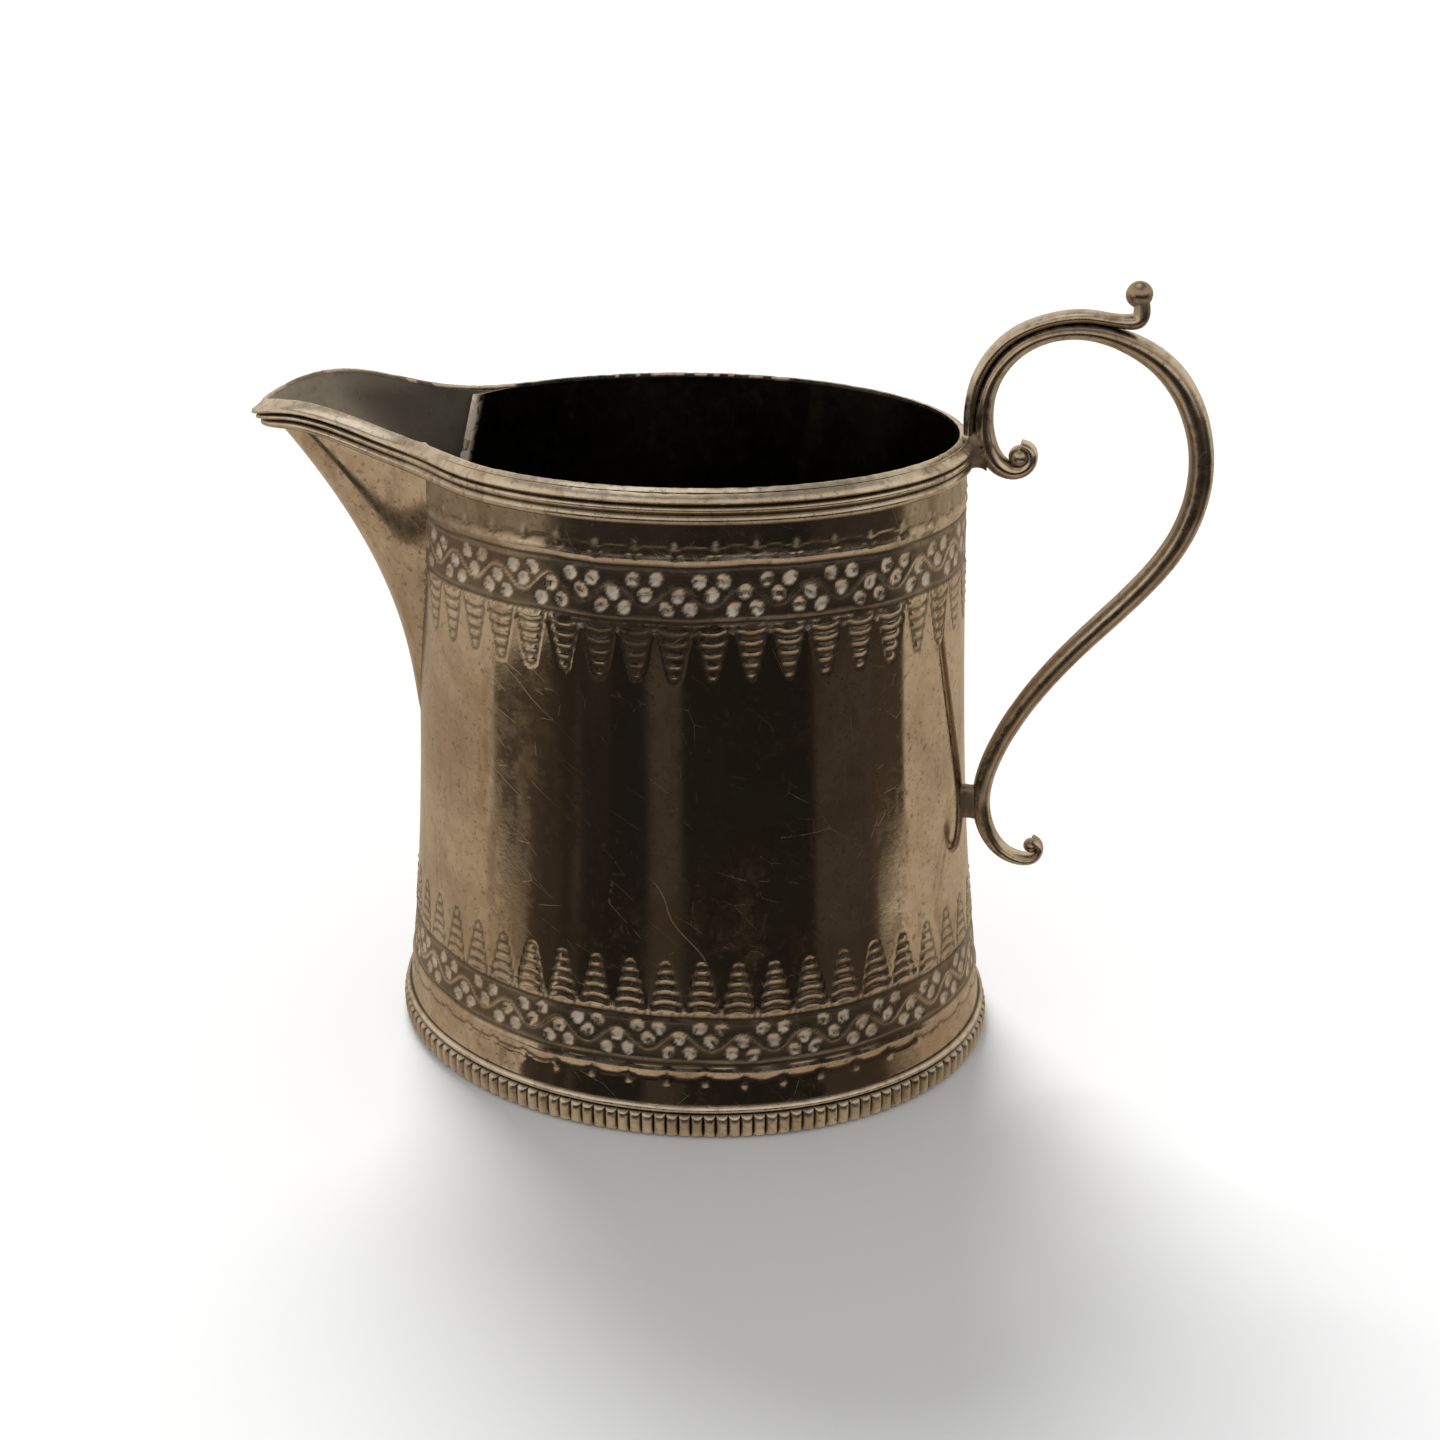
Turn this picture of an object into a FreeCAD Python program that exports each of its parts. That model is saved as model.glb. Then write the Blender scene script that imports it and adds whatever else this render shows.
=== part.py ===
"""Oval silver cream jug: sheet body and spout, applied wires, cast scroll handle.

Millimetres, +Z up. The spout points along -X and the handle along +X. The frame's
origin lies on the resting plane, under the middle of the whole jug's length. The
helpers below work about the body's own upright axis, and save() moves each piece
from there into the frame.
"""
import FreeCAD
import Part
import math
import os

# Body: an oval tube, every level of it an ellipse of the same proportions
AXIS_X = -3.35          # the body's axis, from the frame's origin
OVAL = 0.80             # depth across over length along
RIM_Z = 80.3
RIM_HALF = 33.2         # outer half-length at the rim
TAPER = 0.0327          # how much the wall leans out, per millimetre of drop
FLARE = 2.85            # extra spread at the foot
FLARE_DROP = 75.0       # drop over which the flare is reached
SHEET = 0.9             # thickness of the silver sheet

# Foot
SKIRT_Z = 4.0           # the sheet drops straight from here to the resting plane
TRIM = 1.0              # spare height under the foot, trimmed off flat
BEADING_TOP = 3.3
BEADING_DEPTH = 1.0
FILLET_TOP = 4.4
FILLET_DEPTH = 0.62
BASE_Z = 1.5            # underside of the base plate at its edge
BASE_RISE = 1.3         # how far the base plate domes up at its middle

# Reeded wire round the rim and the spout's lip: drop below the lip of each reed's
# top and bottom edge, and how far the reed stands out
REEDS = ((0.0, 1.6, 0.85), (1.6, 2.6, 0.8), (2.6, 3.9, 0.75))
REED_GROOVE = 0.3       # how far out the bottom of each groove lies
RIM_BEVEL = 1.0         # height of the bevel along the top reed

# Spout
SPOUT_FOOT_Z = 40.0     # where the spout leaves the wall
SPOUT_TOP_Z = 81.0
SPOUT_HALF = 14.3       # half-width of its joint with the body, at the top
SPOUT_REACH = 16.9      # how far its crest stands out from the wall, at the top
SPOUT_SAG = 0.18        # share of the reach by which the crest's curve starts flat
SPOUT_CURVE = 2.06      # power of the crest's outward curve
NECK_IN = 0.35          # how much the spout narrows from its joint towards the tip
NOSE_BLUNTNESS = 4      # 0 gives an elliptic nose; it grows towards the lip
BEAK = 2.2              # how much further the wires stand out where they meet
BEAK_BLUNTNESS = 8
LIP_THINNING = 0.15     # share by which the reeded wire gets lower along the spout
MOUTH_FOOT_Z = 39.0     # point of the V cut in the body wall behind the spout
MOUTH_HALF = 11.8       # half-width of that V at the rim
LIP = ((-20.0, 80.25), (-28.5, 80.45), (-33.0, 81.1), (-38.0, 82.25), (-43.0, 83.3),
       (-46.5, 83.55), (-50.0, 83.1), (-52.6, 82.2), (-55.4, 80.2), (-58.0, 77.9))

# Handle: stations along each casting, as (x, z, thickness, width)
SCROLL = (
    (39.4, 79.5, 0.9, 2.4), (40.5, 78.9, 1.2, 2.9), (40.6, 77.4, 1.5, 3.3),
    (39.2, 76.3, 1.9, 3.5), (37.0, 76.9, 2.3, 3.6), (35.5, 79.2, 2.4, 3.7),
    (34.95, 82.5, 2.2, 3.7), (35.6, 86.6, 2.0, 3.7), (38.8, 90.9, 1.9, 3.7),
    (44.6, 92.8, 1.9, 3.7), (50.3, 91.7, 2.4, 3.7), (55.0, 88.8, 2.9, 3.7),
    (58.6, 83.3, 2.9, 3.7), (59.9, 76.4, 2.9, 3.7), (58.4, 69.1, 2.8, 3.6),
    (54.0, 62.1, 2.7, 3.4), (47.7, 54.7, 2.6, 3.2), (42.1, 46.9, 2.5, 3.1),
    (38.7, 39.9, 2.4, 3.0), (37.4, 33.8, 2.3, 2.9), (38.1, 29.5, 2.2, 2.8),
    (40.0, 26.5, 1.9, 2.7), (42.6, 25.2, 1.5, 2.6), (44.6, 25.6, 1.1, 2.6),
    (45.1, 27.1, 0.9, 2.5), (44.2, 28.0, 0.8, 2.3),
)
OVERLAY = (
    (33.3, 80.5, 1.3, 3.0), (33.35, 83.6, 1.5, 3.2), (34.3, 87.8, 1.5, 3.3),
    (37.2, 91.7, 1.5, 3.3), (41.3, 93.8, 1.5, 3.3), (45.8, 94.45, 1.5, 3.2),
    (49.6, 94.0, 1.6, 3.0), (51.4, 94.25, 1.9, 2.8), (51.5, 96.3, 1.8, 2.4),
)
UPPER_EYE = (39.3, 78.0, 1.3)       # ball in the volute, as (x, z, radius)
LOWER_EYE = (44.0, 27.1, 0.95)
THUMB_BALL = (51.2, 97.05, 1.5)
UPPER_LUG = ((33.4, 35.6), 1.7, (76.0, 81.4))       # x range, half-width, z range
LOWER_LUG = ((34.6, 37.3), 1.2, (30.0, 35.4))

BEYOND = 200.0          # longer than the jug, for shapes that only cut


def vec(x, y, z):
    return FreeCAD.Vector(x, y, z)


def save(shape, name):
    """Move a piece from the body's axis into the frame and write it."""
    shape = shape.copy()
    shape.translate(vec(AXIS_X, 0, 0))
    shape.exportStep("parts/" + name + ".step")
    box = shape.BoundBox
    print("%-18s solids %d valid %s volume %8.1f  x %6.2f %6.2f  y %6.2f %6.2f  z %6.2f %6.2f" % (
        name, len(shape.Solids), shape.isValid(), shape.Volume,
        box.XMin, box.XMax, box.YMin, box.YMax, box.ZMin, box.ZMax))


def spline(points, closed=False):
    curve = Part.BSplineCurve()
    curve.interpolate(Points=points, PeriodicFlag=closed)
    return curve


def wall_half(z):
    """The body's outer half-length at height z."""
    drop = RIM_Z - z
    return RIM_HALF + TAPER * drop + FLARE * (drop / FLARE_DROP) ** 3


# ---- turned and squeezed shapes ---------------------------------------------

def oval_solid(edges):
    """Solid of revolution of a closed outline in the XZ plane, squeezed to an oval."""
    matrix = FreeCAD.Matrix()
    matrix.scale(1.0, OVAL, 1.0)
    face = Part.Face(Part.Wire(edges))
    return face.revolve(vec(0, 0, 0), vec(0, 0, 1), 360).transformGeometry(matrix)


def level(shape):
    """Trim a shape flat along the resting plane."""
    below = Part.makeBox(BEYOND, BEYOND, BEYOND, vec(-BEYOND / 2, -BEYOND / 2, -BEYOND))
    return shape.cut(below)


def segments(points):
    """Straight edges through the points, given as (x, z)."""
    places = [vec(x, 0, z) for x, z in points]
    return [Part.LineSegment(a, b).toShape() for a, b in zip(places, places[1:])]


def arc(start, middle, end):
    """Arc through three points, given as (x, z)."""
    places = [vec(x, 0, z) for x, z in (start, middle, end)]
    return [Part.Arc(*places).toShape()]


def wall_edge(inset, low, high):
    """The wall's curve, inset from its outer side, from height low to high."""
    steps = 6
    heights = [low + (high - low) * i / steps for i in range(steps + 1)]
    return [spline([vec(wall_half(z) - inset, 0, z) for z in heights]).toShape()]


def body_shell():
    """Sheet body, open at top and bottom, with a V cut away behind the spout."""
    skirt = wall_half(SKIRT_Z)
    edges = wall_edge(0, SKIRT_Z, RIM_Z)
    edges += segments([(RIM_HALF, RIM_Z), (RIM_HALF - SHEET, RIM_Z)])
    edges += wall_edge(SHEET, RIM_Z, SKIRT_Z)
    edges += segments([(skirt - SHEET, SKIRT_Z), (skirt - SHEET, -TRIM)])
    edges += segments([(skirt - SHEET, -TRIM), (skirt, -TRIM), (skirt, SKIRT_Z)])
    v_cut = Part.makePolygon([
        vec(0, 0, MOUTH_FOOT_Z), vec(0, MOUTH_HALF, RIM_Z + 1),
        vec(0, -MOUTH_HALF, RIM_Z + 1), vec(0, 0, MOUTH_FOOT_Z)])
    mouth = Part.Face(v_cut).extrude(vec(-BEYOND, 0, 0))
    return level(oval_solid(edges).cut(mouth))


def base_plate():
    """Shallow domed disc soldered inside the skirt, just above the resting plane."""
    edge = wall_half(SKIRT_Z) - SHEET
    low, high = BASE_Z, BASE_Z + SHEET
    part_way = BASE_RISE * 0.75
    edges = arc((edge, low), (edge / 2, low + part_way), (0, low + BASE_RISE))
    edges += segments([(0, low + BASE_RISE), (0, high + BASE_RISE)])
    edges += arc((0, high + BASE_RISE), (edge / 2, high + part_way), (edge, high))
    edges += segments([(edge, high), (edge, low)])
    return oval_solid(edges)


def foot_beading():
    """Half-round wire round the foot, which carries the beads."""
    back = wall_half(SKIRT_Z)
    front = back + BEADING_DEPTH
    shoulder = front - 0.45
    edges = segments([(back, -TRIM), (shoulder, -TRIM), (shoulder, 0)])
    edges += arc((shoulder, 0), (front, BEADING_TOP / 2), (shoulder, BEADING_TOP))
    edges += segments([(shoulder, BEADING_TOP), (back, BEADING_TOP), (back, -TRIM)])
    return level(oval_solid(edges))


def foot_fillet():
    """Plain round wire that covers the step above the beading."""
    back = wall_half(SKIRT_Z)
    front = back + FILLET_DEPTH
    shoulder = front - 0.2
    middle = (BEADING_TOP + FILLET_TOP) / 2
    edges = segments([(wall_half(FILLET_TOP), FILLET_TOP), (back, SKIRT_Z)])
    edges += segments([(back, SKIRT_Z), (back, BEADING_TOP), (shoulder, BEADING_TOP)])
    edges += arc((shoulder, BEADING_TOP), (front, middle), (shoulder, FILLET_TOP))
    edges += segments([(shoulder, FILLET_TOP), (wall_half(FILLET_TOP), FILLET_TOP)])
    return oval_solid(edges)


def rim_moulding():
    """Reeded wire round the rim, open where the spout leaves the body."""
    low = RIM_Z - REEDS[-1][1]
    edges = wall_edge(0, low, RIM_Z)
    for top_drop, low_drop, stand in REEDS:
        top, foot = RIM_Z - top_drop, RIM_Z - low_drop
        groove_top = wall_half(top) + REED_GROOVE
        groove_low = wall_half(foot) + REED_GROOVE
        crest = wall_half(top) + stand
        if top_drop == 0:
            edges += segments([(RIM_HALF, top), (crest, top - RIM_BEVEL), (groove_low, foot)])
        else:
            edges += arc((groove_top, top), (crest, (top + foot) / 2), (groove_low, foot))
    edges += segments([(wall_half(low) + REED_GROOVE, low), (wall_half(low), low)])
    gap = SPOUT_HALF + REEDS[0][2]
    opening = Part.makeBox(BEYOND, 2 * gap, BEYOND, vec(-BEYOND, -gap, 0))
    return oval_solid(edges).cut(opening)


# ---- spout -------------------------------------------------------------------

def rise(z):
    """0 at the spout's foot, 1 at its top."""
    return (z - SPOUT_FOOT_Z) / (SPOUT_TOP_Z - SPOUT_FOOT_Z)


def spout_half(z):
    """Half-width of the spout's joint with the wall: a U, round at its foot."""
    t = min(rise(z), 1.0)
    return SPOUT_HALF * math.sqrt(1 - (1 - t) ** 2)


def crest_reach(z):
    """How far the spout's crest stands from the axis."""
    t = rise(z)
    curve = (1 + SPOUT_SAG) * t ** SPOUT_CURVE - SPOUT_SAG * t
    flush = wall_half(z) + 0.05
    return max(wall_half(SPOUT_FOOT_Z) + SPOUT_REACH * curve, flush)


def half_outline(z, offset, side, beak=False):
    """Points of a level section of the spout, from its nose to its joint on one side.

    offset moves the outline outwards; beak draws the pointed outline of the wires.
    """
    t = min(rise(z), 1.0)
    half = spout_half(z) + offset
    joint = wall_half(z) * math.sqrt(1 - (half / (OVAL * wall_half(z))) ** 2)
    reach = max(crest_reach(z) + offset, wall_half(z) + 0.03) - joint
    if beak:
        reach += BEAK
    narrowing = NECK_IN * t ** 2 * spout_half(z)
    points = []
    steps = 12
    for i in range(steps + 1):
        u = i / steps
        s = 1 - u * u
        across = half - narrowing * (1 - (1 - s) ** 2.5)
        if beak:
            across *= 1 - s ** BEAK_BLUNTNESS
        else:
            across *= math.sqrt(1 - s ** (2 + NOSE_BLUNTNESS * t ** 3))
        points.append(vec(-(joint + reach * s), side * across, z))
    return points


def spout_outline(z, offset):
    """A whole level section of the sheet, from joint to joint."""
    near = half_outline(z, offset, -1)
    near.reverse()
    return near + half_outline(z, offset, 1)[1:]


def ring(outer, inner):
    """Closed wire through two rows of points that run the same way."""
    inner = inner[::-1]
    return Part.Wire([
        spline(outer).toShape(),
        Part.LineSegment(outer[-1], inner[0]).toShape(),
        spline(inner).toShape(),
        Part.LineSegment(inner[-1], outer[0]).toShape()])


def levels(low, count):
    """Heights from low to above the lip, closer together near the foot."""
    high = SPOUT_TOP_Z + 5
    return [low + (high - low) * (i / count) ** 2 for i in range(count + 1)]


def below_lip(drop):
    """Everything below the lip's curve, lowered by drop."""
    places = []
    for x, z in LIP:
        along = min(max((LIP[1][0] - x) / SPOUT_REACH, 0), 1)
        places.append(vec(x, -BEYOND / 2, z - drop * (1 - LIP_THINNING * along)))
    top = spline(places)
    first, last = top.StartPoint, top.EndPoint
    low_first, low_last = vec(first.x, first.y, 0), vec(last.x, last.y, 0)
    face = Part.Face(Part.Wire([
        top.toShape(),
        Part.LineSegment(last, low_last).toShape(),
        Part.LineSegment(low_last, low_first).toShape(),
        Part.LineSegment(low_first, first).toShape()]))
    return face.extrude(vec(0, BEYOND, 0))


def spout_shell():
    """Sheet spout, soldered to the outside of the wall round the V."""
    rings = [ring(spout_outline(z, 0), spout_outline(z, -SHEET))
             for z in levels(SPOUT_FOOT_Z + 0.3, 12)]
    return Part.makeLoft(rings, True, False).common(below_lip(0))


def spout_wire(side):
    """Reeded wire along one side of the lip, mitred to the other one at the tip."""
    low = RIM_Z - REEDS[-1][1] - 4
    reeds = []
    for top_drop, low_drop, stand in REEDS:
        rings = [ring(half_outline(z, stand, side, beak=True), half_outline(z, 0, side))
                 for z in levels(low, 5)]
        strip = Part.makeLoft(rings, True, False)
        reeds.append(strip.common(below_lip(top_drop)).cut(below_lip(low_drop)))
    return reeds[0].fuse(reeds[1:])


# ---- handle ------------------------------------------------------------------

def biggest(shape):
    """The largest solid of a cut shape."""
    return max(shape.Solids, key=lambda solid: solid.Volume)


def oval_ring(station, heading):
    """Oval section of the casting, square to its heading in the XZ plane."""
    x, z, thickness, width = station
    centre = vec(x, 0, z)
    outward = vec(-heading.z, 0, heading.x)
    points = []
    count = 12
    for i in range(count):
        angle = 2 * math.pi * i / count
        across = vec(0, width / 2 * math.cos(angle), 0)
        points.append(centre + across + outward * (thickness / 2 * math.sin(angle)))
    return Part.Wire([spline(points, closed=True).toShape()])


def casting(stations):
    """Loft through oval sections along a smooth line in the XZ plane."""
    line = spline([vec(x, 0, z) for x, z, _, _ in stations])
    rings = []
    for station in stations:
        heading = line.tangent(line.parameter(vec(station[0], 0, station[1])))[0]
        rings.append(oval_ring(station, heading))
    return Part.makeLoft(rings, True, False)


def ball(place):
    x, z, radius = place
    return Part.makeSphere(radius, vec(x, 0, z))


def handle_scroll():
    """The main casting: volute, arch, long sweep and lower curl."""
    return casting(SCROLL).fuse([ball(UPPER_EYE), ball(LOWER_EYE)])


def handle_overlay(scroll):
    """The second scroll over the arch, which lifts off as a thumb scroll."""
    overlay = casting(OVERLAY).fuse(ball(THUMB_BALL))
    return biggest(overlay.cut(scroll))


def wall_slice(stand, low, high):
    """Oval block as large as the wall, plus stand, between two nearby heights."""
    rings = []
    for z in (low, high):
        half = wall_half(z) + stand
        oval = Part.Ellipse(vec(0, 0, z), half, half * OVAL)
        rings.append(Part.Wire([oval.toShape()]))
    return Part.makeLoft(rings, True, True)


def lug(place, stand, neighbours):
    """Small block that fills the gap between the handle and the body."""
    (x0, x1), half, (z0, z1) = place
    block = Part.makeBox(x1 - x0, 2 * half, z1 - z0, vec(x0, -half, z0))
    block = block.cut(wall_slice(stand, z0 - 1, z1 + 1))
    for neighbour in neighbours:
        block = block.cut(neighbour)
    return biggest(block)


def main():
    os.makedirs("parts", exist_ok=True)
    scroll = handle_scroll()
    overlay = handle_overlay(scroll)
    save(body_shell(), "body_shell")
    save(base_plate(), "base_plate")
    save(foot_beading(), "foot_beading")
    save(foot_fillet(), "foot_fillet")
    save(rim_moulding(), "rim_moulding")
    save(spout_shell(), "spout_shell")
    save(spout_wire(1), "spout_wire_far")
    save(spout_wire(-1), "spout_wire_near")
    save(scroll, "handle_scroll")
    save(overlay, "handle_overlay")
    save(lug(UPPER_LUG, REEDS[0][2], [scroll, overlay]), "upper_handle_lug")
    save(lug(LOWER_LUG, 0, [scroll]), "lower_handle_lug")


main()
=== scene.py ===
"""The looks of the oval silver cream jug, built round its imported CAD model.

Every length below is in millimetres, and turns into metres where a mesh is made. The
body's own axis stands at AXIS_X; a place round its ovals is a turn from 0 at the
handle, through 0.25 at the far side and 0.5 at the spout, to 1.
"""
import bmesh
import bpy
import math
import numpy as np
from mathutils import Matrix, Vector, noise

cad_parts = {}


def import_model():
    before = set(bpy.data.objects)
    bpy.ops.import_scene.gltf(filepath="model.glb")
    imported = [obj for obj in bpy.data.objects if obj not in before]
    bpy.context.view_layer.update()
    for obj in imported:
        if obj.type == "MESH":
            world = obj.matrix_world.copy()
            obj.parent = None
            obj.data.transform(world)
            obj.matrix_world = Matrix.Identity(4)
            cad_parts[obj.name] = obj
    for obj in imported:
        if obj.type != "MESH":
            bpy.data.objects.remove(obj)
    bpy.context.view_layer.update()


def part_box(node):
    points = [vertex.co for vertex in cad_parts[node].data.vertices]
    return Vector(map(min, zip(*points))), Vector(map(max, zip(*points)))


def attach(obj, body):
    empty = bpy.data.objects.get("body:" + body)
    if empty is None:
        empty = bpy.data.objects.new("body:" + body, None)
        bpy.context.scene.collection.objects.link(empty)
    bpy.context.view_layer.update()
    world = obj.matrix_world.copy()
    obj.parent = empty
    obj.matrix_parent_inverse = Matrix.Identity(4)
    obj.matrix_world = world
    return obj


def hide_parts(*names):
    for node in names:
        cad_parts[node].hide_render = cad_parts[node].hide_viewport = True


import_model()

MM = 0.001

# ---- sizes taken from the frame ----------------------------------------------


def box_mm(node):
    low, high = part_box(node)
    return low / MM, high / MM


plate_low, plate_high = box_mm("base_plate")
AXIS_X = (plate_low.x + plate_high.x) / 2
OVAL = (plate_high.y - plate_low.y) / (plate_high.x - plate_low.x)
RIM_Z = box_mm("rim_moulding")[1].z
BEADING_TOP = box_mm("foot_beading")[1].z
FILLET_TOP = box_mm("foot_fillet")[1].z
BASE_Z = plate_low.z

# ---- driving sizes, shared with the CAD ---------------------------------------

RIM_HALF = 33.2         # outer half-length of the body at the rim
TAPER = 0.0327          # how much the wall leans out, per millimetre of drop
FLARE = 2.85            # extra spread at the foot
FLARE_DROP = 75.0
SHEET = 0.9
SKIRT_Z = 4.0           # the sheet drops straight from here
BEADING_DEPTH = 1.0
FILLET_DEPTH = 0.62
BASE_RISE = 1.3

SPOUT_FOOT_Z = 40.0
SPOUT_TOP_Z = 81.0
SPOUT_HALF = 14.3
SPOUT_REACH = 16.9
SPOUT_SAG = 0.18
SPOUT_CURVE = 2.06
NECK_IN = 0.35
NOSE_BLUNTNESS = 4
BEAK = 2.6
BEAK_BLUNTNESS = 8
LIP_THINNING = 0.15
MOUTH_FOOT_Z = 39.0
MOUTH_HALF = 11.8
LIP = ((-20.0, 80.25), (-28.5, 80.45), (-33.0, 81.1), (-38.0, 82.25), (-43.0, 83.3),
       (-46.5, 83.55), (-50.0, 83.1), (-52.6, 82.2), (-55.4, 80.2), (-58.0, 77.9))
NOSE_STATIONS = 110     # rings along a spout wire, from the nose to the joint
SHEET_STATIONS = 56     # columns on each half of the spout's sheet, and its levels
WIRE_END = 0.135        # turn from the spout's middle to the end of its wires
BEND_STATIONS = 14      # rings over which a wire bends into the rim's line
BEND_SMOOTHING = 60     # rounds of evening out that bend
SEAM = 0.4              # how far the spout's edges are sunk into the wall

# Handle: stations along each casting, as (x, z, thickness, width)
SCROLL = (
    (39.4, 79.5, 0.9, 2.4), (40.5, 78.9, 1.2, 2.9), (40.6, 77.4, 1.5, 3.3),
    (39.2, 76.3, 1.9, 3.5), (37.0, 76.9, 2.3, 3.6), (35.5, 79.2, 2.4, 3.7),
    (34.95, 82.5, 2.2, 3.7), (35.6, 86.6, 2.0, 3.7), (38.8, 90.9, 1.9, 3.7),
    (44.6, 92.8, 1.9, 3.7), (50.3, 91.7, 2.4, 3.7), (55.0, 88.8, 2.9, 3.7),
    (58.6, 83.3, 2.9, 3.7), (59.9, 76.4, 2.9, 3.7), (58.4, 69.1, 2.8, 3.6),
    (54.0, 62.1, 2.7, 3.4), (47.7, 54.7, 2.6, 3.2), (42.1, 46.9, 2.5, 3.1),
    (38.7, 39.9, 2.4, 3.0), (37.4, 33.8, 2.3, 2.9), (38.1, 29.5, 2.2, 2.8),
    (40.0, 26.5, 1.9, 2.7), (42.6, 25.2, 1.5, 2.6), (44.6, 25.6, 1.1, 2.6),
    (45.1, 27.1, 0.9, 2.5), (44.2, 28.0, 0.8, 2.3),
)
OVERLAY = (
    (33.3, 80.5, 1.3, 3.0), (33.35, 83.6, 1.5, 3.2), (34.3, 87.8, 1.5, 3.3),
    (37.2, 91.7, 1.5, 3.3), (41.3, 93.8, 1.5, 3.3), (45.8, 94.45, 1.5, 3.2),
    (49.6, 94.0, 1.6, 3.0), (51.4, 94.25, 1.9, 2.8), (51.5, 96.3, 1.8, 2.4),
)
UPPER_EYE = (39.3, 78.0, 1.3)      # ball in the volute, as (x, z, radius)
LOWER_EYE = (44.0, 27.1, 0.95)
THUMB_BALL = (51.2, 97.05, 1.5)
UPPER_LUG = ((33.4, 35.6), 1.7, (76.0, 81.4))       # x range, half-width, z range
LOWER_LUG = ((34.6, 37.3), 1.2, (30.0, 35.4))

# ---- chased decoration ----------------------------------------------------------

WALL_COLUMNS = 640
INSIDE_COLUMNS = 160
BEADS = 146
RELIEF_STEP = 0.31      # height between the wall's rows in a chased band

# Each band: middle of its vine strip, which way its scallops lie (1 up, -1 down),
# half the strip's height, vines, tongues and scallops round the body, tongue length,
# and how far polishing has worn down the near side's tongues
UPPER_BAND = dict(middle=68.45, way=1, half=3.15, vines=26, tongues=45, scallops=43, reach=6.4,
                  fade=0.7)
LOWER_BAND = dict(middle=12.87, way=-1, half=3.03, vines=28, tongues=48, scallops=46, reach=6.5,
                  fade=0.1)
TONGUE_GAP = 0.7        # between the vine strip and the tongues
TONGUE_HALF = 1.8       # half-width of a tongue's first bar
DASH_OUT = 0.95         # between the vine strip and the dashes
SCALLOP_FOOT = 1.2      # between the vine strip and the feet of the arches
SCALLOP_RISE = 0.9
DOT_OUT = 2.6           # between the vine strip and the dots
VINE_SWING = 1.2
BERRY = 0.84            # radius of a berry, which is a punched hollow
BERRY_SPREAD = 1.3      # half the space between the two berries of a pair
BERRY_LEVEL = 1.62      # how far a pair lies from the strip's middle
BERRY_DEPTH = 0.23
STEM_HALF = 0.26        # half-width of the wavy stem
STEM_HEIGHT = 0.07
STRIP_DEPTH = 0.03      # how far the strip lies below the plain sheet
TONGUE_BARS = 5
BAR_HEIGHT = 0.11
BAR_SAG = 0.35          # how much lower a bar's middle hangs than its ends, BAR_SPAN away
BAR_SPAN = 1.4
DOT = 0.42              # radius of a punched dot
DASH_HEIGHT = 0.14
CUT_DEPTH = 0.1         # of the arches
CUT_HALF = 0.24
BORDER_DEPTH = 0.14
BORDER_HALF = 0.34


# ---- the body's ovals --------------------------------------------------------

FINE_ANGLES = np.linspace(0, 2 * math.pi, 7201)
fine_steps = np.hypot(np.sin(FINE_ANGLES), OVAL * np.cos(FINE_ANGLES))
FINE_TURNS = np.concatenate([[0], np.cumsum((fine_steps[1:] + fine_steps[:-1]) / 2)])
GIRTH = FINE_TURNS[-1] * FINE_ANGLES[1]     # girth of an oval of half-length 1
FINE_TURNS = FINE_TURNS / FINE_TURNS[-1]


def angle_of(turn):
    """The oval's angle at a turn, even steps of which are even along its girth."""
    return np.interp(np.mod(turn, 1), FINE_TURNS, FINE_ANGLES)


def turn_of(angle):
    return np.interp(np.mod(angle, 2 * math.pi), FINE_ANGLES, FINE_TURNS)


def wall_half(z):
    """The body's outer half-length at height z."""
    drop = RIM_Z - max(z, SKIRT_Z)
    return RIM_HALF + TAPER * drop + FLARE * (drop / FLARE_DROP) ** 3


def oval_point(half, angle, z):
    return (AXIS_X + half * math.cos(angle), OVAL * half * math.sin(angle), z)


def smooth(low, high, value):
    """0 below low, 1 above high, and a smooth step between."""
    t = np.clip((value - low) / (high - low), 0, 1)
    return t * t * (3 - 2 * t)


# ---- meshes --------------------------------------------------------------------

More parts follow.
